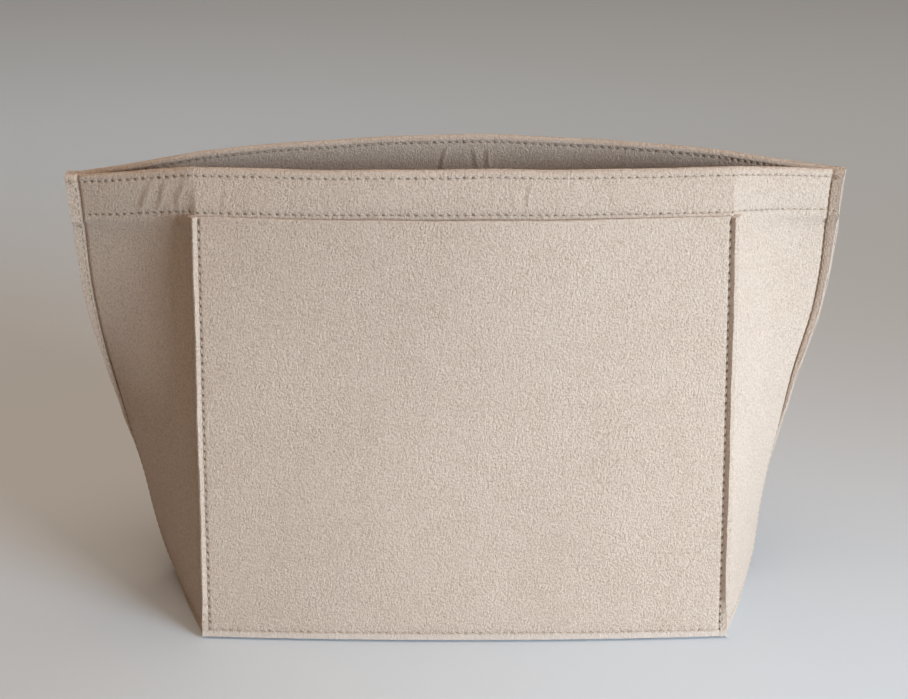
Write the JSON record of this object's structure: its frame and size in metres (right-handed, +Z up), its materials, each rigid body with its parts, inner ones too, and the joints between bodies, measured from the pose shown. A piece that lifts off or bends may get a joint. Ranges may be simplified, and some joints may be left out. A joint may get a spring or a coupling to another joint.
{
  "type": "purse organizer insert",
  "caption": "Open-topped felt insert that stands inside a handbag: flat base, slanting long walls with slip pockets, pinched side seams and a folded hem round the mouth.",
  "frame": {"origin": "centre of the foot outline, on the surface that the insert stands on", "axes": "+X along the long walls, +Y from the front pocket to the back, +Z up to the mouth"},
  "size_m": [0.407, 0.1516, 0.246],
  "materials": {
    "felt": "matte needle felt",
    "thread": "satin sewing thread"
  },
  "bodies": {
    "base": {"base_panel": "felt"},
    "front_wall": {"front_panel": "felt", "front_rim_stitching": "thread", "front_hem_stitching": "thread", "front_left_gusset_base_stitching": "thread", "front_right_gusset_base_stitching": "thread", "left_side_seam_stitching": "thread", "right_side_seam_stitching": "thread"},
    "back_wall": {"back_panel": "felt", "back_rim_stitching": "thread", "back_hem_stitching": "thread", "back_left_gusset_base_stitching": "thread", "back_right_gusset_base_stitching": "thread"},
    "front_pocket": {"front_slip_pocket": "felt", "front_base_stitching": "thread", "front_left_corner_stitching": "thread", "front_right_corner_stitching": "thread"},
    "back_pocket": {"back_slip_pocket": "felt", "back_base_stitching": "thread", "back_left_corner_stitching": "thread", "back_right_corner_stitching": "thread"},
    "inner_front": {"inner_front_pocket": "felt", "inner_front_pocket_stitching": "thread"},
    "inner_back_left": {"inner_back_left_pocket": "felt", "inner_back_left_pocket_stitching": "thread"},
    "inner_back_right": {"inner_back_right_pocket": "felt", "inner_back_right_pocket_stitching": "thread"}
  },
  "joints": [
    {"name": "front_wall_tilt", "type": "hinge", "parent": "base", "child": "front_wall", "pos_m": [0, -0.071, 0], "axis": [1, 0, 0], "range_deg": [0, 4]},
    {"name": "back_wall_tilt", "type": "hinge", "parent": "base", "child": "back_wall", "pos_m": [0, 0.071, 0], "axis": [-1, 0, 0], "range_deg": [0, 4]},
    {"name": "front_pocket_gape", "type": "hinge", "parent": "front_wall", "child": "front_pocket", "pos_m": [0, -0.0713, 0.001], "axis": [1, 0, 0], "range_deg": [0, 4], "stiffness_Nm_per_rad": 0.2},
    {"name": "back_pocket_gape", "type": "hinge", "parent": "back_wall", "child": "back_pocket", "pos_m": [0, 0.0713, 0.001], "axis": [-1, 0, 0], "range_deg": [0, 4], "stiffness_Nm_per_rad": 0.2},
    {"name": "inner_front_gape", "type": "hinge", "parent": "front_wall", "child": "inner_front", "pos_m": [0, -0.0622, 0.04], "axis": [-1, 0, 0], "range_deg": [0, 5], "stiffness_Nm_per_rad": 0.2},
    {"name": "inner_back_left_gape", "type": "hinge", "parent": "back_wall", "child": "inner_back_left", "pos_m": [-0.066, 0.0638, 0.04], "axis": [1, 0, 0], "range_deg": [0, 5], "stiffness_Nm_per_rad": 0.2},
    {"name": "inner_back_right_gape", "type": "hinge", "parent": "back_wall", "child": "inner_back_right", "pos_m": [0.066, 0.0638, 0.04], "axis": [1, 0, 0], "range_deg": [0, 5], "stiffness_Nm_per_rad": 0.2}
  ]
}
